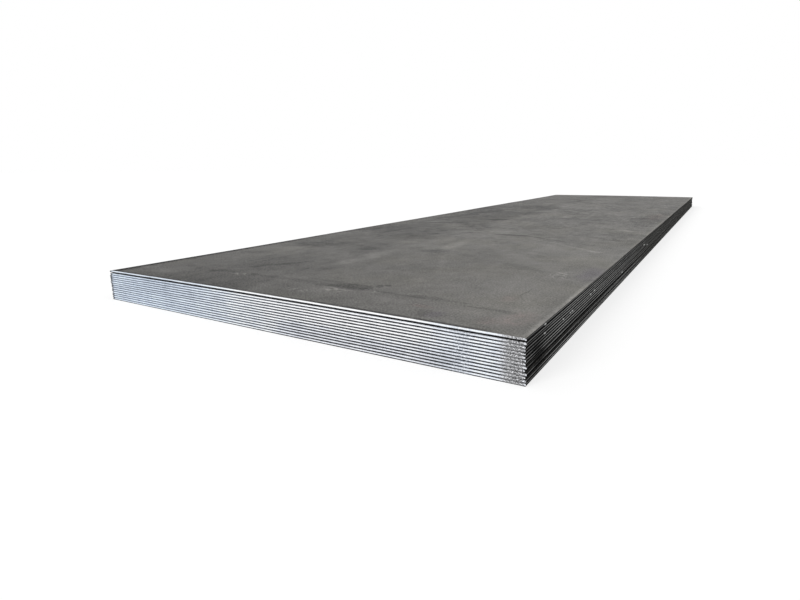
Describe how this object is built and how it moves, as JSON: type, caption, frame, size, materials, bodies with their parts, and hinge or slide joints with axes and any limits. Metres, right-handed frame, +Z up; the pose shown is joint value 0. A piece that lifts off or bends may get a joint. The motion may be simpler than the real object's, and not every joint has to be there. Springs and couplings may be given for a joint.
{
  "type": "stack of steel plates",
  "caption": "Flush stack of hot-rolled heavy steel plates with sheared ends and round mill edges, lying flat as stock for cutting, storage or transport.",
  "frame": {"origin": "centre of the footprint, on the level that the bottom plate lies on", "axes": "+Z up through the stack, +Y along the plates' length, +X across their width"},
  "size_m": [2.207, 8.002, 0.1562],
  "materials": {
    "hot_rolled_steel": "matt grey mill scale on the faces, bright sheared ends"
  },
  "bodies": {
    "root": {"plate_01": "hot_rolled_steel", "plate_02": "hot_rolled_steel", "plate_03": "hot_rolled_steel", "plate_04": "hot_rolled_steel", "plate_05": "hot_rolled_steel", "plate_06": "hot_rolled_steel", "plate_07": "hot_rolled_steel", "plate_08": "hot_rolled_steel", "plate_09": "hot_rolled_steel", "plate_10": "hot_rolled_steel", "plate_11": "hot_rolled_steel", "plate_12": "hot_rolled_steel", "plate_13": "hot_rolled_steel", "plate_14": "hot_rolled_steel"}
  },
  "joints": []
}
